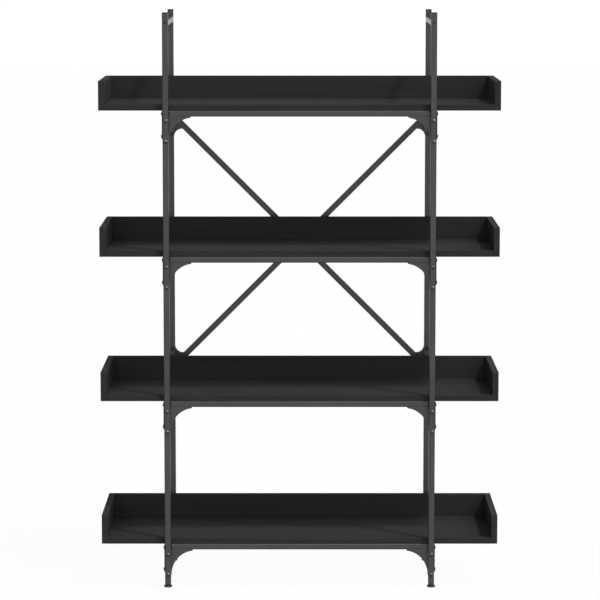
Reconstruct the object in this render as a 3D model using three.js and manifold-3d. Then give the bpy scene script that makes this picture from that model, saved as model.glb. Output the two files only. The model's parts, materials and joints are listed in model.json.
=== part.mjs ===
// Open bookcase with four trays on a bolted square-tube frame.
// Millimetres, +Z up, +X to the right, the open front of the trays faces -Y.
// The origin is on the floor under the middle of the frame.
import * as THREE from "three";
import { mergeVertices } from "three/addons/utils/BufferGeometryUtils.js";
import Module from "manifold-3d";

const wasm = await Module();
wasm.setup();

// ---- driving dimensions ----
const TRAY_WIDTH = 1000;
const TRAY_DEPTH = 295;
const TRAY_HEIGHT = 73;
const BOARD = 15; // thickness of every board
const TIER_LEVELS = [109, 474, 839, 1204]; // undersides of the trays, lowest first

const TUBE = 15; // outside width of every square tube
const TUBE_WALL = 1.2;
const TUBE_CORNER = 2.5; // outside corner radius
const CORNER_HALF_STEPS = 2; // a tube corner is cut into twice as many facets
const POST_CENTRE_X = 332.5;
const FRAME_HALF_DEPTH = 148.5; // outer faces of the shelf beams and ends of the side rails
const POST_GAP = 0.25; // between a post and what is bolted to it
const POST_BOTTOM = 8;
const HEIGHT = 1447;
const CAP_PLATE = 2;
const TOP_RAIL_DROP = 17.7; // from the top of the caps to the top of the upper side rails

const PLATE = 1.5; // gusset leaves
const BEAM_END_GAP = 1.5; // between a shelf beam's end and the side rail beside it
// A front gusset's arc stays sideRim clear of the post's inner edge and topRim below the beam.
const FRONT_GUSSET = { radius: 60, sideRim: 1.3, topRim: 2.3, reach: 54.5, tail: 5 };
const SIDE_GUSSET = { radius: 48, arm: 53, tail: 7.5 };
const WELD = 0.6; // how far a leaf runs into the tube wall that it is welded to

const BRACE_WIDTH = 15;
const BRACE_THICK = 2;
const BRACE_TOP_Z = TIER_LEVELS[3] - 25.5; // upper end bolts, shared with the top gussets
const BRACE_HOLE_PITCH = 51.5; // between the two bolts at each end
const BRACE_FILLET = 20;
const JOGGLE = { lift: 2.3, flat: 15, foot: 45, lap: 10 };

const BOLT = { shank: 2.8, hole: 3.1, head: 5.5, headHeight: 2.1 };
const NUT = { corner: 5.2, height: 3.5 };
const FOOT = { disc: 10.3, discHeight: 5, neck: 6, neckTop: 7.6, stud: 3, studTop: 24 };
const INSERT_HEIGHT = 20;
const FIT_GAP = 0.3; // clearance of plugs, shanks and studs

// ---- derived ----
const POST_INNER_Y = FRAME_HALF_DEPTH + POST_GAP;
const POST_CENTRE_Y = POST_INNER_Y + TUBE / 2;
const POST_OUTER_Y = POST_INNER_Y + TUBE;
const POST_INNER_X = POST_CENTRE_X - TUBE / 2;
const POST_OUTER_X = POST_CENTRE_X + TUBE / 2;
const BRACE_BOTTOM_Z = BRACE_TOP_Z - 2 * POST_CENTRE_X; // the braces run at 45 degrees
const BRACE_MIDDLE_Z = (BRACE_TOP_Z + BRACE_BOTTOM_Z) / 2;
const BRACE_FACE_Y = POST_OUTER_Y + POST_GAP;
const LOWER_BRACE_BOLTS = [BRACE_BOTTOM_Z, BRACE_BOTTOM_Z + BRACE_HOLE_PITCH];

// ---- materials ----
const steel = new THREE.MeshStandardMaterial({ color: 0x484a49, roughness: 0.5, metalness: 0.6 });
const board = new THREE.MeshStandardMaterial({ color: 0x2f3132, roughness: 0.6, metalness: 0 });
const plastic = new THREE.MeshStandardMaterial({ color: 0x1c1d1e, roughness: 0.55, metalness: 0 });
const fastener = new THREE.MeshStandardMaterial({ color: 0x3a3b3b, roughness: 0.4, metalness: 0.8 });

// ---- solids: joining and cutting ----
function toSolid(geometry) {
  const bare = geometry.index ? geometry.toNonIndexed() : geometry.clone();
  for (const name of Object.keys(bare.attributes)) if (name !== "position") bare.deleteAttribute(name);
  const merged = mergeVertices(bare, 1e-4);
  const vertProperties = merged.attributes.position.array;
  const triVerts = new Uint32Array(merged.index.array);
  return new wasm.Manifold(new wasm.Mesh({ numProp: 3, vertProperties, triVerts }));
}

function toGeometry(solid) {
  const mesh = solid.getMesh();
  const geometry = new THREE.BufferGeometry();
  geometry.setAttribute("position", new THREE.BufferAttribute(mesh.vertProperties.slice(), 3));
  geometry.setIndex(new THREE.BufferAttribute(mesh.triVerts.slice(), 1));
  const flat = geometry.toNonIndexed();
  flat.computeVertexNormals();
  return flat;
}

const join = (...parts) => toGeometry(parts.map(toSolid).reduce((a, b) => a.add(b)));
const cut = (part, ...tools) =>
  toGeometry(tools.map(toSolid).reduce((solid, tool) => solid.subtract(tool), toSolid(part)));

// ---- shapes ----
function squareShape(size, radius) {
  const half = size / 2;
  const inset = half - radius;
  const shape = new THREE.Shape();
  if (radius === 0) {
    shape.setFromPoints([[-half, -half], [half, -half], [half, half], [-half, half]].map(
      ([x, y]) => new THREE.Vector2(x, y)));
    return shape;
  }
  [[1, -1], [1, 1], [-1, 1], [-1, -1]].forEach(([sx, sy], quarter) => {
    const start = (quarter - 1) * (Math.PI / 2);
    shape.absarc(sx * inset, sy * inset, radius, start, start + Math.PI / 2, false);
  });
  return shape;
}

// An arc is cut into twice as many steps as arcHalfSteps.
const extrude = (shape, depth, arcHalfSteps = 1) =>
  new THREE.ExtrudeGeometry(shape, { depth, bevelEnabled: false, curveSegments: arcHalfSteps });

// A square tube along +Z from 0 to length, open at both ends.
function tube(length) {
  const shape = squareShape(TUBE, TUBE_CORNER);
  shape.holes.push(squareShape(TUBE - 2 * TUBE_WALL, 0));
  return extrude(shape, length, CORNER_HALF_STEPS);
}

// A cylinder along Y whose centre is at the given point.
const crossPin = (radius, length, x, y, z, sides = 12) =>
  new THREE.CylinderGeometry(radius, radius, length, sides).translate(x, y, z);

const lathe = (points, segments = 20) =>
  new THREE.LatheGeometry(points.map(([r, h]) => new THREE.Vector2(r, h)), segments);

// ---- posts, caps, inserts and feet ----
function postGeometry(isBack) {
  const plain = tube(HEIGHT - CAP_PLATE - POST_BOTTOM).translate(0, 0, POST_BOTTOM);
  if (!isBack) return plain;
  const wallMiddle = TUBE / 2 - TUBE_WALL / 2;
  return cut(plain, ...LOWER_BRACE_BOLTS.map(
    (z) => crossPin(BOLT.hole, 3 * TUBE_WALL, 0, wallMiddle, z)));
}

function capGeometry() {
  const plugLength = 8;
  const plate = extrude(squareShape(TUBE, TUBE_CORNER), CAP_PLATE, CORNER_HALF_STEPS)
    .translate(0, 0, HEIGHT - CAP_PLATE);
  const plugSize = TUBE - 2 * TUBE_WALL - 2 * FIT_GAP;
  const plug = extrude(squareShape(plugSize, 1), plugLength + WELD)
    .translate(0, 0, HEIGHT - CAP_PLATE - plugLength);
  return join(plate, plug);
}

function insertGeometry() {
  const shape = squareShape(TUBE - 2 * TUBE_WALL - 2 * FIT_GAP, 1);
  const hole = new THREE.Path();
  hole.absarc(0, 0, FOOT.stud + FIT_GAP, 0, 2 * Math.PI, true);
  shape.holes.push(hole);
  return extrude(shape, INSERT_HEIGHT, 5).translate(0, 0, POST_BOTTOM);
}

function footGeometry() {
  const { disc, discHeight, neck, neckTop, stud, studTop } = FOOT;
  return lathe([
    [0, 0], [disc - 1, 0], [disc, 1], [disc, discHeight - 1.4], [disc - 1.3, discHeight],
    [neck, discHeight + 0.4], [neck, neckTop], [stud, neckTop],
    [stud, studTop - 1], [stud - 1, studTop], [0, studTop],
  ]).rotateX(Math.PI / 2);
}

// ---- shelf beams and side rails ----
// Front gusset leaf, seen from the front. u runs inboard from the post's inner edge, v is height above
// the tray's underside. It backs the post, and its concave arc runs from the beam to the post.
function frontLeafShape() {
  const { radius, sideRim, topRim, reach, tail } = FRONT_GUSSET;
  const underRail = -TUBE - POST_GAP;
  const arcBottom = -TUBE - topRim - radius;
  const tipAngle = Math.PI - Math.acos((sideRim + radius - reach) / radius);
  const shape = new THREE.Shape();
  shape.moveTo(-TUBE, underRail);
  shape.lineTo(2 * BEAM_END_GAP, underRail);
  shape.lineTo(2 * BEAM_END_GAP, -TUBE + WELD);
  shape.lineTo(reach, -TUBE + WELD);
  shape.absarc(sideRim + radius, arcBottom, radius, tipAngle, Math.PI, false);
  shape.lineTo(0, arcBottom - tail);
  shape.lineTo(-TUBE, arcBottom - tail);
  return shape;
}

// One shelf beam with a leaf at each end, its outer face at -Y and its top at height 0.
function beamGeometry() {
  const half = POST_INNER_X - BEAM_END_GAP;
  const bar = tube(2 * half).rotateY(Math.PI / 2)
    .translate(-half, -FRAME_HALF_DEPTH + TUBE / 2, -TUBE / 2);
  const leaf = extrude(frontLeafShape(), PLATE, 9).rotateX(Math.PI / 2)
    .translate(-POST_INNER_X, -FRAME_HALF_DEPTH + PLATE, 0);
  const otherLeaf = leaf.clone().rotateZ(Math.PI)
    .translate(0, 2 * (-FRAME_HALF_DEPTH + PLATE / 2), 0);
  return join(bar, leaf, otherLeaf);
}

// Side leaf, seen square on from the side. w runs inboard from the post's inner face, v as above.
// It covers the post's side, an arm runs along the rail, and a concave arc stiffens the corner.
function sideLeafShape() {
  const { radius, arm, tail } = SIDE_GUSSET;
  const top = -POST_GAP;
  const arcBottom = -TUBE - radius;
  const shape = new THREE.Shape();
  shape.moveTo(-TUBE, top);
  shape.lineTo(arm, top);
  shape.lineTo(arm, -TUBE);
  shape.absarc(radius, arcBottom, radius, Math.PI / 2, Math.PI, false);
  shape.absarc(-tail, arcBottom, tail, 0, -Math.PI, true);
  return shape;
}

// One side rail with a leaf at each end, its outer face at -X and its top at height 0.
function sideRailGeometry() {
  const bar = tube(2 * FRAME_HALF_DEPTH).rotateX(-Math.PI / 2)
    .translate(-POST_CENTRE_X, -FRAME_HALF_DEPTH, -TUBE / 2);
  const leaf = extrude(sideLeafShape(), PLATE, 6).rotateX(Math.PI / 2).rotateZ(Math.PI / 2)
    .translate(-POST_OUTER_X - PLATE, -POST_INNER_Y, 0);
  const farLeaf = leaf.clone().rotateZ(Math.PI).translate(-2 * POST_OUTER_X - PLATE, 0, 0);
  const weldLength = SIDE_GUSSET.arm - 2;
  const welds = [-1, 1].map((end) => new THREE.BoxGeometry(2 * WELD, weldLength, TUBE / 2)
    .translate(-POST_OUTER_X, end * (POST_INNER_Y - 1 - weldLength / 2), -TUBE / 2));
  return join(bar, leaf, farLeaf, ...welds);
}

function topRailGeometry() {
  return tube(2 * FRAME_HALF_DEPTH).rotateX(-Math.PI / 2)
    .translate(0, -FRAME_HALF_DEPTH, HEIGHT - TOP_RAIL_DROP - TUBE / 2);
}

// ---- back braces ----
// Points round one end of a brace. a runs inboard from the end bolt, b runs along the post towards
// the brace's middle. The list starts and ends on the two edges of the diagonal bar.
function braceEndPoints() {
  const half = BRACE_WIDTH / 2;
  const corner = 2;
  const stripEnd = BRACE_HOLE_PITCH + half + 3;
  const centre = { a: half + BRACE_FILLET, b: stripEnd - corner };
  const barEdge = half * Math.SQRT2; // the bar's upper edge is b = a + barEdge
  const toEdge = (centre.b - centre.a - barEdge) / Math.SQRT2;
  const filletEnd = 1.75 * Math.PI - Math.acos(toEdge / BRACE_FILLET);
  const tip = new THREE.Path().absarc(0, 0, half, -Math.PI / 4, -Math.PI, true);
  const fillet = new THREE.Path()
    .absarc(centre.a, centre.b, BRACE_FILLET, Math.PI, filletEnd, false);
  const toPoint = ({ x, y }) => ({ a: x, b: y });
  return [
    ...tip.getPoints(5).map(toPoint),
    { a: -half, b: centre.b },
    { a: -half + corner, b: stripEnd },
    { a: half - corner, b: stripEnd },
    ...fillet.getPoints(6).map(toPoint),
  ];
}

// side is 1 for the brace whose upper end is on the left post, -1 for the other one.
const upperEnd = (side) => ({ a, b }) => [side * (a - POST_CENTRE_X), BRACE_TOP_Z - b];
const lowerEnd = (side) => ({ a, b }) => [side * (POST_CENTRE_X - a), BRACE_BOTTOM_Z + b];
const END_HOLES = [{ a: 0, b: 0 }, { a: 0, b: BRACE_HOLE_PITCH }];

// A flat plate in the brace's plane from (x, z) points.
const bracePlate = (points) =>
  extrude(new THREE.Shape(points.map(([x, z]) => new THREE.Vector2(x, z))), BRACE_THICK)
    .rotateX(Math.PI / 2).translate(0, BRACE_FACE_Y + BRACE_THICK, 0);

const holePin = ([x, z]) => crossPin(BOLT.hole, 8 * BRACE_THICK, x, BRACE_FACE_Y + BRACE_THICK, z, 12);

function braceHoles(side) {
  const places = [...END_HOLES.map(upperEnd(side)), ...END_HOLES.map(lowerEnd(side)), [0, BRACE_MIDDLE_Z]];
  return places.map(holePin);
}

function straightBrace(side) {
  const outline = braceEndPoints();
  const plate = bracePlate([...outline.map(upperEnd(side)), ...outline.map(lowerEnd(side))]);
  return cut(plate, ...braceHoles(side));
}

// The second brace steps back over the first one where they cross.
function joggledBrace(side) {
  const { lift, flat, foot, lap } = JOGGLE;
  const corner = BRACE_WIDTH / 2 / Math.SQRT2;
  const reach = POST_CENTRE_X - (foot + lap / 2) / Math.SQRT2;
  const stub = [
    ...braceEndPoints(),
    { a: reach - corner, b: reach + corner },
    { a: reach + corner, b: reach - corner },
  ];
  const ends = [upperEnd, lowerEnd].map((place) => bracePlate(stub.map(place(side))));

  // Side view of the step: s along the bar, y backwards. It is a little slimmer than the ends.
  const skin = 0.05;
  const rise = [[-foot - lap, 0], [-foot, 0], [-flat, lift], [flat, lift], [foot, 0], [foot + lap, 0]];
  const front = rise.map(([s, y]) => new THREE.Vector2(s, y + skin));
  const rear = rise.map(([s, y]) => new THREE.Vector2(s, y + BRACE_THICK - skin)).reverse();
  const width = BRACE_WIDTH - 2 * skin;
  const step = extrude(new THREE.Shape([...front, ...rear]), width).translate(0, 0, -width / 2)
    .rotateY(side * Math.PI / 4).translate(0, BRACE_FACE_Y, BRACE_MIDDLE_Z);
  return cut(join(...ends, step), ...braceHoles(side));
}

// ---- brace bolts ----
// A domed head and shank, turned about Y: the head's underside is at y, and the shank runs to -Y.
function boltPoints(shankLength) {
  const { head, headHeight, shank } = BOLT;
  return [
    [0, -shankLength], [shank, -shankLength], [shank, 0], [head, 0], [head, headHeight * 0.3],
    [head * 0.86, headHeight * 0.68], [head * 0.55, headHeight * 0.93], [0, headHeight],
  ];
}

function postBoltGeometry() {
  const shankLength = BRACE_THICK + 6;
  return lathe(boltPoints(shankLength), 16).translate(0, BRACE_FACE_Y + BRACE_THICK + FIT_GAP, 0);
}

// The crossing's bolt has its head at the front and a hexagon nut behind.
function crossingBoltGeometry() {
  const { corner, height } = NUT;
  const shankLength = 2 * BRACE_THICK + JOGGLE.lift + height + 1;
  const bolt = lathe(boltPoints(shankLength), 16).rotateX(Math.PI)
    .translate(0, BRACE_FACE_Y - FIT_GAP, 0);
  const nutFace = BRACE_FACE_Y + BRACE_THICK + JOGGLE.lift + FIT_GAP;
  const nut = new THREE.CylinderGeometry(corner, corner, height, 6)
    .translate(0, nutFace + height / 2, 0);
  return join(bolt, nut);
}

// ---- assembly ----
const bookcase = new THREE.Group();

function add(name, geometry, material, x = 0, y = 0, z = 0, turn = 0) {
  const mesh = new THREE.Mesh(geometry, material);
  mesh.name = name;
  mesh.position.set(x, y, z);
  mesh.rotation.z = turn;
  bookcase.add(mesh);
}

const SIDES = [["left", -1, 0], ["right", 1, Math.PI]];
const ENDS = [["front", -1, 0], ["back", 1, Math.PI]];

for (const [end, ySign] of ENDS) {
  const post = postGeometry(end === "back");
  for (const [side, xSign] of SIDES) {
    const corner = `${end}_${side}`;
    const place = [xSign * POST_CENTRE_X, ySign * POST_CENTRE_Y];
    add(`post_${corner}`, post, steel, ...place);
    add(`post_cap_${corner}`, capGeometry(), plastic, ...place);
    add(`foot_insert_${corner}`, insertGeometry(), plastic, ...place);
    add(`foot_${corner}`, footGeometry(), plastic, ...place);
  }
}

for (const [side, xSign, turn] of SIDES) {
  add(`top_rail_${side}`, topRailGeometry(), steel, xSign * POST_CENTRE_X);
  TIER_LEVELS.forEach((level, tier) => {
    add(`side_rail_${side}_${tier + 1}`, sideRailGeometry(), steel, 0, 0, level, turn);
  });
}

TIER_LEVELS.forEach((level, tier) => {
  const innerWidth = TRAY_WIDTH - 2 * BOARD;
  for (const [end, , turn] of ENDS) {
    add(`shelf_beam_${end}_${tier + 1}`, beamGeometry(), steel, 0, 0, level, turn);
  }
  const base = new THREE.BoxGeometry(innerWidth, TRAY_DEPTH - BOARD, BOARD);
  add(`tray_base_${tier + 1}`, base, board, 0, -BOARD / 2, level + BOARD / 2);
  const back = new THREE.BoxGeometry(innerWidth, BOARD, TRAY_HEIGHT);
  add(`tray_back_${tier + 1}`, back, board, 0, (TRAY_DEPTH - BOARD) / 2, level + TRAY_HEIGHT / 2);
  for (const [side, xSign] of SIDES) {
    const cheek = new THREE.BoxGeometry(BOARD, TRAY_DEPTH, TRAY_HEIGHT);
    const x = xSign * (TRAY_WIDTH - BOARD) / 2;
    add(`tray_end_${side}_${tier + 1}`, cheek, board, x, 0, level + TRAY_HEIGHT / 2);
  }
});

add("brace_from_top_left", straightBrace(1), steel);
add("brace_from_top_right", joggledBrace(-1), steel);
add("brace_crossing_bolt", crossingBoltGeometry(), fastener, 0, 0, BRACE_MIDDLE_Z);
for (const [side, xSign] of SIDES) {
  LOWER_BRACE_BOLTS.forEach((z, i) => {
    add(`brace_bolt_${side}_${i + 1}`, postBoltGeometry(), fastener, xSign * POST_CENTRE_X, 0, z);
  });
}

export default bookcase;
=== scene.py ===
import json
import math

import bpy
from mathutils import Matrix, Vector


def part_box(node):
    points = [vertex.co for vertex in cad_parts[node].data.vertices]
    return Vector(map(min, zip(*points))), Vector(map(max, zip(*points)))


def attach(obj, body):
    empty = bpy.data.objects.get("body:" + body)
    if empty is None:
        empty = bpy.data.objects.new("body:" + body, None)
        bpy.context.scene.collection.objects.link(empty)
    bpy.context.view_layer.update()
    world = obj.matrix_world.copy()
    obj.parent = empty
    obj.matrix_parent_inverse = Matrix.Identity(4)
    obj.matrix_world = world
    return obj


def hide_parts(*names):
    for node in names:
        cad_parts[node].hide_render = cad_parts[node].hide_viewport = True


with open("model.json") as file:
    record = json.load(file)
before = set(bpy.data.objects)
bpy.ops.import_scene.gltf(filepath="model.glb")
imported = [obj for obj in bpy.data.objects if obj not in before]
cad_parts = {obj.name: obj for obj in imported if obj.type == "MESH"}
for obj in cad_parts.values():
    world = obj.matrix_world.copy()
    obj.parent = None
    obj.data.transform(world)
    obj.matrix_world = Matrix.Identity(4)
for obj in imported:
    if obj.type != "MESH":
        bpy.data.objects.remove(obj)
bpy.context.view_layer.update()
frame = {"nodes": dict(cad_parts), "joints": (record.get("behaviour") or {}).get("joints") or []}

# ---- places and sizes, in metres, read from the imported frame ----
MM = 0.001
TIERS = (1, 2, 3, 4)
SIDES = {"left": -1, "right": 1}
ENDS = {"front": -1, "back": 1}

POST_LOW, POST_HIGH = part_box("post_back_right")
POST_X = (POST_LOW.x + POST_HIGH.x) / 2
POST_Y = (POST_LOW.y + POST_HIGH.y) / 2
LEAF_OUTER_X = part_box("side_rail_right_1")[1].x
PLATE = LEAF_OUTER_X - POST_HIGH.x
BEAM_HIGH_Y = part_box("shelf_beam_back_1")[1].y
RAIL_LOW, RAIL_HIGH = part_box("top_rail_right")
TUBE = RAIL_HIGH.x - RAIL_LOW.x
BRACE_FRONT_Y, BRACE_REAR_Y = (corner.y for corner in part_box("brace_from_top_left"))
BEAM_END_X = POST_LOW.x - 1.5 * MM
# The plug's black rim stands in the gap by the post as a painted shade line.
PLUG_RIM = 1.1 * MM
GUSSET_REACH = 54.5 * MM
SIDE_GUSSET_ARM = 53 * MM
FOOT_TRAVEL = max(joint["range_m"][1] for joint in frame["joints"])


def level(tier):
    """Height of a tray's underside, which is also the top of its shelf frame."""
    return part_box(f"tray_base_{tier}")[0].z


# How far below a tray's underside its bracket bolts are.
SIDE_BOLT_DROPS = (7.5 * MM, 63 * MM)
FACE_BOLT_DROPS = (25.5 * MM, 77 * MM)

HEAD_RADIUS, HEAD_HEIGHT, HEAD_RIM = 5 * MM, 2.5 * MM, 0.5 * MM
SOCKET_RADIUS, SOCKET_DEPTH = 1.6 * MM, 1.3 * MM
NUT_RADIUS, NUT_HEIGHT = 5.4 * MM, 4 * MM
NUT_END = 1.4 * MM       # how far a bolt's end stands out of its nut
STUD_RADIUS = 2.9 * MM
SHANK_RADIUS = 2.8 * MM

COVER_RADIUS, COVER_HEIGHT = 2.8 * MM, 1 * MM
TRAY_SCREW_RADIUS, TRAY_SCREW_HEIGHT = 4 * MM, 2 * MM
TRAY_SCREW_Y = 0.1       # from the middle of the tray, along the side rails
PLUG_STEM, PLUG_DEPTH = 5.9 * MM, 9 * MM
WELD_RADIUS, WELD_PITCH = 1.4 * MM, 1.5 * MM
THREAD_PITCH, THREAD_DEPTH = 1 * MM, 0.5 * MM
CAP_EDGE, BOARD_EDGE = 0.5 * MM, 0.7 * MM    # how far edges are rounded


# ---- camera ----
CAMERA_PLACE = Vector((0.0011, -7.28, 1.634))
CAMERA_TILT = math.radians(7.22)
LENS = 172.4


def add_camera():
    data = bpy.data.cameras.new("camera")
    data.lens = LENS
    data.clip_end = 200
    camera = bpy.data.objects.new("camera", data)
    camera.location = CAMERA_PLACE
    camera.rotation_euler = (math.pi / 2 - CAMERA_TILT, 0, 0)
    bpy.context.scene.collection.objects.link(camera)
    bpy.context.scene.camera = camera


# ---- light, surroundings and floor ----
def grey(shade):
    return (shade, shade, shade)


SUN_FROM = Vector((0.401, -0.355, 0.844))
SUN_STRENGTH = 1.42
SUN_COLOR = (0.96, 0.99, 1.06)
SUN_ANGLE = math.radians(7)
FLOOR_SIZE = 60
FLOOR_DROP = 0.5 * MM    # below the feet at their longest
FLOOR_GLOW = 0.965
BACKGROUND_GLOW = 1.05


def add_sun():
    data = bpy.data.lights.new("key_light", "SUN")
    data.energy = SUN_STRENGTH
    data.angle = SUN_ANGLE
    data.color = SUN_COLOR
    sun = bpy.data.objects.new("key_light", data)
    sun.rotation_mode = "QUATERNION"
    sun.rotation_quaternion = SUN_FROM.to_track_quat("Z", "Y")
    bpy.context.scene.collection.objects.link(sun)


def add_surroundings():
    """White to look at. As light it is a soft studio. Near the horizon its walls are bright behind
    the object, dimmer in front of it and dimmest beside it. Above them is a bright band in front,
    most of all on the right, and then a dark cool ceiling. Below them is a dark ground."""
    world = bpy.data.worlds.new("studio")
    bpy.context.scene.world = world
    world.use_nodes = True
    nodes, links = world.node_tree.nodes, world.node_tree.links
    nodes.clear()
    direction = nodes.new("ShaderNodeTexCoord")
    split = nodes.new("ShaderNodeSeparateXYZ")
    links.new(direction.outputs["Generated"], split.inputs["Vector"])

    def shades(axis, stops):
        """Shades by the direction's part along an axis, from -1 to 1."""
        share = nodes.new("ShaderNodeMapRange")
        share.inputs["From Min"].default_value = -1
        ramp = nodes.new("ShaderNodeValToRGB")
        set_stops(ramp, [((position + 1) / 2, color) for position, color in stops])
        links.new(split.outputs[axis], share.inputs["Value"])
        links.new(share.outputs["Result"], ramp.inputs["Fac"])
        return ramp.outputs["Color"]

    walls = shades("Y", [
        (-1, grey(0.6)), (-0.5, grey(0.44)), (0, grey(0.29)), (0.8, grey(0.4)), (0.97, grey(1.5)),
    ])
    ends = shades("Z", [
        (-1, grey(0.09)), (-0.5, grey(0.18)), (0, grey(0.3)), (0.35, grey(0.25)), (0.5, grey(1.1)),
        (0.72, grey(1.1)), (0.86, (0.2, 0.21, 0.25)), (1, (0.08, 0.09, 0.12)),
    ])
    ahead = shades("Y", [(-1, grey(1)), (0, grey(1)), (0.5, grey(0.3)), (1, grey(0.3))])
    across = shades("X", [(-1, grey(0.8)), (0, grey(1)), (1, grey(2.6))])
    steepness = shades("Z", [(-0.75, grey(1)), (-0.2, grey(0)), (0.03, grey(0)), (0.15, grey(1))])

    def product(a, b):
        times = nodes.new("ShaderNodeMix")
        times.data_type = "RGBA"
        times.blend_type = "MULTIPLY"
        times.inputs["Factor"].default_value = 1
        links.new(a, times.inputs["A"])
        links.new(b, times.inputs["B"])
        return times.outputs["Result"]

    blend = nodes.new("ShaderNodeMix")
    blend.data_type = "RGBA"
    soft = nodes.new("ShaderNodeBackground")
    white = nodes.new("ShaderNodeBackground")
    white.inputs["Color"].default_value = (1, 1, 1, 1)
    white.inputs["Strength"].default_value = BACKGROUND_GLOW
    path = nodes.new("ShaderNodeLightPath")
    mix = nodes.new("ShaderNodeMixShader")
    output = nodes.new("ShaderNodeOutputWorld")
    links.new(steepness, blend.inputs["Factor"])
    links.new(walls, blend.inputs["A"])
    links.new(product(product(ends, ahead), across), blend.inputs["B"])
    links.new(blend.outputs["Result"], soft.inputs["Color"])
    links.new(path.outputs["Is Camera Ray"], mix.inputs["Fac"])
    links.new(soft.outputs["Background"], mix.inputs[1])
    links.new(white.outputs["Background"], mix.inputs[2])
    links.new(mix.outputs["Shader"], output.inputs["Surface"])


def add_floor():
    """A pale floor just under the feet at their longest, which is there only for the camera, so
    that the ground's shade in the surroundings is what lights the object from below."""
    material = bpy.data.materials.new("floor_white")
    material.use_nodes = True
    nodes, links = material.node_tree.nodes, material.node_tree.links
    nodes.clear()
    glow = nodes.new("ShaderNodeEmission")
    glow.inputs["Strength"].default_value = FLOOR_GLOW
    matt = nodes.new("ShaderNodeBsdfDiffuse")
    matt.inputs["Color"].default_value = (0.035, 0.035, 0.035, 1)
    unseen = nodes.new("ShaderNodeBsdfTransparent")
    seen = nodes.new("ShaderNodeAddShader")
    path = nodes.new("ShaderNodeLightPath")
    mix = nodes.new("ShaderNodeMixShader")
    output = nodes.new("ShaderNodeOutputMaterial")
    links.new(glow.outputs["Emission"], seen.inputs[0])
    links.new(matt.outputs["BSDF"], seen.inputs[1])
    links.new(path.outputs["Is Camera Ray"], mix.inputs["Fac"])
    links.new(unseen.outputs["BSDF"], mix.inputs[1])
    links.new(seen.outputs["Shader"], mix.inputs[2])
    links.new(mix.outputs["Shader"], output.inputs["Surface"])

    half, z = FLOOR_SIZE / 2, -FOOT_TRAVEL - FLOOR_DROP
    mesh = bpy.data.meshes.new("floor")
    outline = [(-half, -half, z), (half, -half, z), (half, half, z), (-half, half, z)]
    mesh.from_pydata(outline, [], [(0, 1, 2, 3)])
    mesh.materials.append(material)
    floor = bpy.data.objects.new("floor", mesh)
    bpy.context.scene.collection.objects.link(floor)


# ---- materials ----
def set_stops(ramp, stops):
    """Gives a colour ramp node these (position, (r, g, b)) stops."""
    elements = ramp.color_ramp.elements
    while len(elements) < len(stops):
        elements.new(1)
    for element, (position, color) in zip(elements, stops):
        element.position = position
        element.color = (*color, 1)


class Paint:
    """A Principled material with the few texture nodes that the surfaces here share."""

    def __init__(self, name, **settings):
        self.material = bpy.data.materials.new(name)
        self.material.use_nodes = True
        self.nodes = self.material.node_tree.nodes
        self.links = self.material.node_tree.links
        self.shader = self.nodes["Principled BSDF"]
        self.place = self.nodes.new("ShaderNodeTexCoord")
        for socket, value in settings.items():
            self.shader.inputs[socket.replace("_", " ")].default_value = value

    def noise(self, scale, stretch=(1, 1, 1), detail=2):
        """Noise with about scale features a metre, squeezed by stretch along each axis."""
        mapping = self.nodes.new("ShaderNodeMapping")
        mapping.inputs["Scale"].default_value = stretch
        noise = self.nodes.new("ShaderNodeTexNoise")
        noise.inputs["Scale"].default_value = scale
        noise.inputs["Detail"].default_value = detail
        self.links.new(self.place.outputs["Object"], mapping.inputs["Vector"])
        self.links.new(mapping.outputs["Vector"], noise.inputs["Vector"])
        return noise.outputs["Fac"]

    def between(self, value, low, high):
        """value, spread from its middle half to the range low to high."""
        spread = self.nodes.new("ShaderNodeMapRange")
        spread.inputs["From Min"].default_value = 0.3
        spread.inputs["From Max"].default_value = 0.7
        spread.inputs["To Min"].default_value = low
        spread.inputs["To Max"].default_value = high
        self.links.new(value, spread.inputs["Value"])
        return spread.outputs["Result"]

    def color(self, value, dark, light):
        ramp = self.nodes.new("ShaderNodeValToRGB")
        set_stops(ramp, [(0.3, dark), (0.7, light)])
        self.links.new(value, ramp.inputs["Fac"])
        self.links.new(ramp.outputs["Color"], self.shader.inputs["Base Color"])

    def roughness(self, value, low, high):
        self.links.new(self.between(value, low, high), self.shader.inputs["Roughness"])

    def bumps(self, *layers):
        """Each layer is (value, height in metres)."""
        last = None
        for value, height in layers:
            bump = self.nodes.new("ShaderNodeBump")
            bump.inputs["Strength"].default_value = 1
            bump.inputs["Distance"].default_value = height
            self.links.new(value, bump.inputs["Height"])
            if last:
                self.links.new(last, bump.inputs["Normal"])
            last = bump.outputs["Normal"]
        self.links.new(last, self.shader.inputs["Normal"])


def powder_coat():
    """Dark grey fine-texture powder coat on steel."""
    paint = Paint("powder_coat", Metallic=1.0)
    broad, grain = paint.noise(14), paint.noise(1100, detail=3)
    paint.color(broad, (0.130, 0.137, 0.134), (0.150, 0.156, 0.153))
    paint.roughness(grain, 0.36, 0.46)
    paint.bumps((grain, 0.035 * MM), (paint.noise(260), 0.03 * MM))
    return paint.material


def melamine(along):
    """Black melamine with a faint embossed wood grain that runs along the x or y axis."""
    paint = Paint(f"black_melamine_grain_{along}", Specular_IOR_Level=0.12)
    stretch = {"x": (0.03, 1, 1), "y": (1, 0.03, 1)}[along]
    streaks, pores = paint.noise(90, stretch, detail=4), paint.noise(900, stretch, detail=2)
    paint.color(streaks, (0.0302, 0.0318, 0.0312), (0.0389, 0.0407, 0.0400))
    paint.roughness(streaks, 0.58, 0.7)
    paint.bumps((streaks, 0.05 * MM), (pores, 0.03 * MM))
    return paint.material


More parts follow.
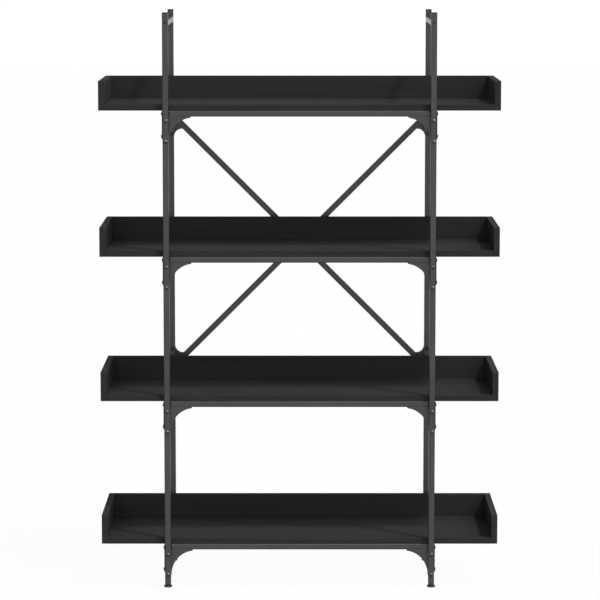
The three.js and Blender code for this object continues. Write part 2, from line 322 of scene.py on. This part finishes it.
def moulded_plastic(name, dark, light):
    """Moulded plastic with a fine spark-eroded texture, in two close shades."""
    paint = Paint(name)
    grain = paint.noise(1500, detail=2)
    paint.color(paint.noise(60), dark, light)
    paint.roughness(grain, 0.40, 0.55)
    paint.bumps((grain, 0.02 * MM))
    return paint.material


def coated_steel(name, dark, light):
    """Black-coated fastener steel, a little brighter where the coat is thin."""
    paint = Paint(name, Metallic=1.0)
    cloud = paint.noise(300, detail=3)
    paint.color(cloud, dark, light)
    paint.roughness(cloud, 0.26, 0.40)
    paint.bumps((paint.noise(2500), 0.008 * MM))
    return paint.material


# ---- finer edges on the CAD nodes, by modifiers ----
def smooth_group(name, sharp_from):
    """Geometry nodes that merge doubled corners and shade smooth, up to an angle at an edge."""
    group = bpy.data.node_groups.new(name, "GeometryNodeTree")
    group.interface.new_socket("Geometry", in_out="INPUT", socket_type="NodeSocketGeometry")
    group.interface.new_socket("Geometry", in_out="OUTPUT", socket_type="NodeSocketGeometry")
    nodes, links = group.nodes, group.links
    start, end = nodes.new("NodeGroupInput"), nodes.new("NodeGroupOutput")
    plain = nodes.new("GeometryNodeRemoveAttribute")
    plain.inputs["Name"].default_value = "custom_normal"
    merge = nodes.new("GeometryNodeMergeByDistance")
    merge.inputs["Distance"].default_value = 0.005 * MM
    faces = nodes.new("GeometryNodeSetShadeSmooth")
    all_edges = nodes.new("GeometryNodeSetShadeSmooth")
    all_edges.domain = "EDGE"
    angle = nodes.new("GeometryNodeInputMeshEdgeAngle")
    over = nodes.new("FunctionNodeCompare")
    over.inputs["B"].default_value = sharp_from
    sharp = nodes.new("GeometryNodeSetShadeSmooth")
    sharp.domain = "EDGE"
    sharp.inputs["Shade Smooth"].default_value = False
    chain = [start, plain, merge, faces, all_edges, sharp, end]
    for node, after in zip(chain, chain[1:]):
        links.new(node.outputs["Geometry"], after.inputs["Geometry"])
    links.new(angle.outputs["Unsigned Angle"], over.inputs["A"])
    links.new(over.outputs["Result"], sharp.inputs["Selection"])
    return group


FACETED = smooth_group("smooth_under_50_degrees", math.radians(50))
ALL_SMOOTH = smooth_group("smooth_all", math.radians(180))


def refine(obj, bevel=None):
    """Smooth shading that keeps flat faces flat, with rounded edges where bevel is given."""
    smooth = obj.modifiers.new("smooth", "NODES")
    smooth.node_group = ALL_SMOOTH if bevel else FACETED
    if bevel:
        edges = obj.modifiers.new("edges", "BEVEL")
        edges.width = bevel
        edges.segments = 3
        edges.limit_method = "ANGLE"
    weigh = obj.modifiers.new("weigh", "WEIGHTED_NORMAL")
    weigh.keep_sharp = not bevel


def paint_cad_nodes(steel, boards, plastic):
    for name, obj in frame["nodes"].items():
        if name.startswith("tray_"):
            dress(obj, boards["y" if "_end_" in name else "x"])
            refine(obj, BOARD_EDGE)
        elif name.startswith("post_cap_"):
            dress(obj, plastic)
            refine(obj, CAP_EDGE)
        elif name.startswith("foot_"):
            dress(obj, plastic)
            refine(obj)
        else:
            dress(obj, steel)
            refine(obj)


def dress(obj, material):
    for slot in obj.material_slots:
        slot.material = material


# ---- small turned pieces ----
def ring_solid(rings, segments=36):
    """Vertices and faces of a closed solid round +Z. A ring is (radius, height); radius may be a
    function of the angle, and the first and last rings have a radius of 0."""
    points = [Vector((0, 0, rings[0][1]))]
    faces = []
    for radius, height in rings[1:-1]:
        for i in range(segments):
            turn = 2 * math.pi * i / segments
            r = radius(turn) if callable(radius) else radius
            points.append(Vector((r * math.cos(turn), r * math.sin(turn), height)))
    points.append(Vector((0, 0, rings[-1][1])))
    last = len(points) - 1
    for i in range(segments):
        j = (i + 1) % segments
        faces.append((0, 1 + j, 1 + i))
        for ring in range(len(rings) - 3):
            low, high = 1 + ring * segments, 1 + (ring + 1) * segments
            faces.append((low + i, low + j, high + j, high + i))
        faces.append((last, last - segments + i, last - segments + j))
    return points, faces


def hexagon(corner_radius):
    """The radius of a hexagon at an angle, for ring_solid."""
    flat = corner_radius * math.cos(math.pi / 6)
    return lambda turn: flat / math.cos((turn % (math.pi / 3)) - math.pi / 6)


def dome(edge_radius, top_radius, low, high, steps=5):
    """Rings up a quarter-round shoulder."""
    angles = [math.pi / 2 * i / steps for i in range(steps + 1)]
    across, up = edge_radius - top_radius, high - low
    return [(top_radius + across * math.cos(a), low + up * math.sin(a)) for a in angles]


def rounded_square(half, corner):
    """The distance to a rounded square's edge at an angle, for ring_solid."""
    def radius(turn):
        u, v = abs(math.cos(turn)), abs(math.sin(turn))
        big, small = max(u, v), min(u, v)
        flat = half / big
        inner = half - corner
        if flat * small <= inner:
            return flat
        along = inner * (u + v)
        return along + math.sqrt(along * along - 2 * inner * inner + corner * corner)
    return radius


def bolt_head(radius=HEAD_RADIUS, height=HEAD_HEIGHT):
    """A domed head with a hexagon socket, sitting on z = 0."""
    rim = HEAD_RIM * height / HEAD_HEIGHT
    rise = height - rim
    ball = (radius * radius + rise * rise) / (2 * rise)
    lip = SOCKET_RADIUS * 1.15
    cap = []
    for i in range(9):
        r = radius + (lip - radius) * i / 8
        cap.append((r, height - ball + math.sqrt(ball * ball - r * r)))
    top = cap[-1][1]
    return ring_solid([
        (0, 0), (radius * 0.97, 0), *cap, (hexagon(SOCKET_RADIUS), top - 0.12 * MM),
        (hexagon(SOCKET_RADIUS * 0.97), top - SOCKET_DEPTH), (0, top - SOCKET_DEPTH - 0.2 * MM),
    ])


def nut_and_end():
    """A hexagon nut on z = 0 with the end of its bolt standing out of it."""
    body, chamfer = hexagon(NUT_RADIUS), 0.45 * MM
    stud, end = STUD_RADIUS, NUT_END
    turned = NUT_RADIUS * 0.9
    return ring_solid([
        (0, 0), (turned, 0), (body, chamfer), (body, NUT_HEIGHT - chamfer), (turned, NUT_HEIGHT),
        (stud + 0.3 * MM, NUT_HEIGHT), (stud, NUT_HEIGHT - 0.3 * MM),
        (stud, NUT_HEIGHT + end - 0.4 * MM), (stud - 0.5 * MM, NUT_HEIGHT + end),
        (0, NUT_HEIGHT + end),
    ])


def facing(solid, seat, outward):
    """The solid moved to seat, with its +Z turned to outward."""
    points, faces = solid
    move = Matrix.Translation(seat) @ Vector(outward).to_track_quat("Z", "X").to_matrix().to_4x4()
    return [move @ p for p in points], faces


def piece(name, solids, material, body="frame"):
    """One object made of closed solids, shaded smooth apart from its sharp edges."""
    points, faces = [], []
    for more_points, more_faces in solids:
        faces += [tuple(len(points) + i for i in face) for face in more_faces]
        points += more_points
    mesh = bpy.data.meshes.new(name)
    mesh.from_pydata(points, [], faces)
    mesh.materials.append(material)
    mesh.shade_smooth()
    mesh.set_sharp_from_angle(angle=math.radians(38))
    obj = bpy.data.objects.new(name, mesh)
    bpy.context.scene.collection.objects.link(obj)
    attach(obj, body)
    return obj


# ---- fasteners ----
def corners():
    for end, y_sign in ENDS.items():
        for side, x_sign in SIDES.items():
            yield end, side, x_sign, y_sign


def bracket_fasteners(tier):
    """(heads, nuts) of the sixteen bolts that fix one shelf frame to the posts."""
    heads, nuts = [], []
    for end, _, x_sign, y_sign in corners():
        for drop in SIDE_BOLT_DROPS:
            z, outward = level(tier) - drop, (x_sign, 0, 0)
            heads.append(facing(bolt_head(), (x_sign * LEAF_OUTER_X, y_sign * POST_Y, z), outward))
        for drop in FACE_BOLT_DROPS:
            z, outward = level(tier) - drop, (0, y_sign, 0)
            on_brace = tier == TIERS[-1] and end == "back"
            face = BRACE_REAR_Y if on_brace else POST_HIGH.y
            heads.append(facing(bolt_head(), (x_sign * POST_X, y_sign * face, z), outward))
            seat = (x_sign * POST_X, y_sign * (BEAM_HIGH_Y - PLATE), z)
            nuts.append(facing(nut_and_end(), seat, (0, -y_sign, 0)))
    return heads, nuts


def add_bracket_fasteners(steel, nut_steel):
    for tier in TIERS:
        heads, nuts = bracket_fasteners(tier)
        piece(f"bracket_bolts_{tier}", heads, steel)
        piece(f"bracket_nuts_{tier}", nuts, nut_steel)


def add_screw_covers(plastic):
    """Small domed covers over the screws that hold the two top rails between the posts."""
    z = (RAIL_LOW.z + RAIL_HIGH.z) / 2
    cover = ring_solid([
        (0, 0), (COVER_RADIUS - 0.1 * MM, 0), *dome(COVER_RADIUS, 0.7 * MM, 0.2 * MM, COVER_HEIGHT),
        (0, COVER_HEIGHT + 0.02 * MM),
    ])
    covers = [facing(cover, (x_sign * POST_X, y_sign * POST_HIGH.y, z), (0, y_sign, 0))
              for _, _, x_sign, y_sign in corners()]
    piece("screw_covers", covers, plastic)


def shank(length):
    """A plain bolt shank below z = 0."""
    return ring_solid([(0, -length), (SHANK_RADIUS - 0.4 * MM, -length),
                       (SHANK_RADIUS, 0.4 * MM - length), (SHANK_RADIUS, 0), (0, 0)], 24)


def add_brace_bolts(steel, nut_steel):
    """The bolts of the braces' lower ends, through the back posts, and the one at the crossing."""
    for side, x_sign in SIDES.items():
        for number in (1, 2):
            node = f"brace_bolt_{side}_{number}"
            low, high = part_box(node)
            z = (low.z + high.z) / 2
            behind, before = (x_sign * POST_X, BRACE_REAR_Y, z), (x_sign * POST_X, POST_LOW.y, z)
            bolt = piece(f"brace_end_bolt_{side}_{number}", [
                facing(bolt_head(), behind, (0, 1, 0)),
                facing(shank(BRACE_REAR_Y - POST_LOW.y), behind, (0, 1, 0)),
            ], steel)
            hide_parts(node)
            nut = facing(nut_and_end(), before, (0, -1, 0))
            piece(f"brace_end_nut_{side}_{number}", [nut], nut_steel)

    low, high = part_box("brace_crossing_bolt")
    z = (low.z + high.z) / 2
    front = (0, BRACE_FRONT_Y, z)
    back = (0, high.y - NUT_HEIGHT - NUT_END, z)
    bolt = piece("crossing_bolt", [
        facing(bolt_head(), front, (0, -1, 0)),
        facing(shank(back[1] - front[1]), front, (0, -1, 0)),
    ], steel)
    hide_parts("brace_crossing_bolt")
    piece("crossing_nut", [facing(nut_and_end(), back, (0, 1, 0))], nut_steel)


def add_tray_screws(steel):
    """The screws that hold each tray, seen under the side rails."""
    head = bolt_head(TRAY_SCREW_RADIUS, TRAY_SCREW_HEIGHT)
    heads = [facing(head, (x_sign * POST_X, y_sign * TRAY_SCREW_Y, level(tier) - TUBE), (0, 0, -1))
             for tier in TIERS for _, _, x_sign, y_sign in corners()]
    piece("tray_screws", heads, steel)


# ---- ends of the shelf beams ----
def add_beam_plugs_and_gap_shade(plastic):
    """A push-in plug closes each end of each shelf beam. Its black rim is a dark line by the post:
    painted shade that stands in for the shade in the gap there.
    """
    rim, stem = rounded_square(TUBE / 2 - 0.15 * MM, 2.3 * MM), rounded_square(PLUG_STEM, 0.8 * MM)
    # The black rim is painted shade: it darkens the gap between the beam's end and the post.
    plug = ring_solid([(0, 0), (rim, 0), (rim, PLUG_RIM - 0.2 * MM),
                       (rounded_square(TUBE / 2 - 0.4 * MM, 2 * MM), PLUG_RIM), (0, PLUG_RIM)], 64)
    overlap = 0.2 * MM
    spigot = ring_solid([(0, -PLUG_DEPTH), (stem, -PLUG_DEPTH), (stem, overlap), (0, overlap)], 64)
    for tier in TIERS:
        plugs = []
        for _, _, x_sign, y_sign in corners():
            seat = (x_sign * BEAM_END_X, y_sign * (BEAM_HIGH_Y - TUBE / 2), level(tier) - TUBE / 2)
            plugs += [facing(solid, seat, (x_sign, 0, 0)) for solid in (plug, spigot)]
        piece(f"beam_end_plugs_and_gap_shade_{tier}", plugs, plastic)


# ---- welds ----
def bead(start, end):
    """A weld bead from start to end, with a scale pattern along it."""
    start, along = Vector(start), Vector(end) - Vector(start)
    steps = round(along.length / WELD_PITCH) * 3
    rings = [(0, 0)]
    for i in range(steps + 1):
        share = i / steps
        swell = 1 - 0.14 * ((i % 3) / 2)
        taper = min(1, 0.45 + 6 * share, 0.45 + 6 * (1 - share))
        rings.append((WELD_RADIUS * swell * taper, along.length * share))
    rings.append((0, along.length))
    return facing(ring_solid(rings, 12), start, along)


def add_welds(steel):
    """Beads in the corners where each gusset leaf meets the underside of its tube."""
    front_toe, front_heel = POST_LOW.x - GUSSET_REACH + 2 * MM, POST_LOW.x - 0.3 * MM
    side_toe, side_heel = POST_LOW.y - SIDE_GUSSET_ARM + 2 * MM, POST_LOW.y - 3 * MM
    for tier in TIERS:
        z = level(tier) - TUBE
        beads = []
        for _, _, x_sign, y_sign in corners():
            y = y_sign * (BEAM_HIGH_Y - PLATE)
            beads.append(bead((x_sign * front_toe, y, z), (x_sign * front_heel, y, z)))
            x = x_sign * POST_HIGH.x
            beads.append(bead((x, y_sign * side_toe, z), (x, y_sign * side_heel, z)))
        piece(f"gusset_welds_{tier}", beads, steel)


# ---- feet ----
def thread_rings(low, high, steps=6):
    """Rings of a screw thread from low to high, with this many steps to each turn."""
    count = round((high - low) / THREAD_PITCH * steps)

    def radius_at(height):
        def radius(turn):
            phase = (height / THREAD_PITCH - turn / (2 * math.pi)) % 1
            return STUD_RADIUS - THREAD_DEPTH * abs(2 * phase - 1)
        return radius

    return [(radius_at(low + (high - low) * i / count), low + (high - low) * i / count)
            for i in range(count + 1)]


def add_feet(plastic, steel):
    for end, side, x_sign, y_sign in corners():
        node = f"foot_{end}_{side}"
        low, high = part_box(node)
        centre = ((low.x + high.x) / 2, (low.y + high.y) / 2, low.z)
        rim = (high.x - low.x) / 2
        base = ring_solid([
            (0, 0), (rim - 1.3 * MM, 0), *dome(rim, rim - 1 * MM, 1 * MM, 0, 3)[::-1],
            *dome(rim, rim - 1.6 * MM, 3.4 * MM, 5 * MM, 4), (6.6 * MM, 5.3 * MM),
            (hexagon(5.9 * MM), 5.6 * MM), (hexagon(5.9 * MM), 7.3 * MM), (5 * MM, 7.6 * MM),
            (3.2 * MM, 7.6 * MM), (0, 7.5 * MM),
        ], 48)
        foot = piece(f"levelling_foot_{end}_{side}", [facing(base, centre, (0, 0, 1))], plastic,
                     node)
        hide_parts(node)
        top = high.z - low.z
        stud = ring_solid([
            (0, 7.2 * MM), (2.4 * MM, 7.2 * MM), *thread_rings(7.3 * MM, top - 0.8 * MM),
            (2.0 * MM, top), (0, top),
        ], 24)
        piece(f"foot_stud_{end}_{side}", [facing(stud, centre, (0, 0, 1))], steel,
              node)


# ---- assembly ----
STEEL = powder_coat()
BOARDS = {axis: melamine(axis) for axis in "xy"}
PLASTIC = moulded_plastic("black_plastic", (0.008, 0.008, 0.0085), (0.012, 0.012, 0.0125))
FOOT_PLASTIC = moulded_plastic("charcoal_plastic", (0.034, 0.034, 0.035), (0.044, 0.044, 0.045))
BOLT_STEEL = coated_steel("dark_bolt_steel", (0.10, 0.105, 0.104), (0.17, 0.175, 0.173))
NUT_STEEL = coated_steel("black_nut_steel", (0.05, 0.052, 0.052), (0.075, 0.078, 0.077))

bpy.context.scene.view_settings.view_transform = "Standard"
add_camera()
add_sun()
add_surroundings()
add_floor()
paint_cad_nodes(STEEL, BOARDS, PLASTIC)
add_bracket_fasteners(BOLT_STEEL, NUT_STEEL)
add_screw_covers(PLASTIC)
add_brace_bolts(BOLT_STEEL, NUT_STEEL)
add_tray_screws(BOLT_STEEL)
add_beam_plugs_and_gap_shade(PLASTIC)
add_welds(STEEL)
add_feet(FOOT_PLASTIC, BOLT_STEEL)
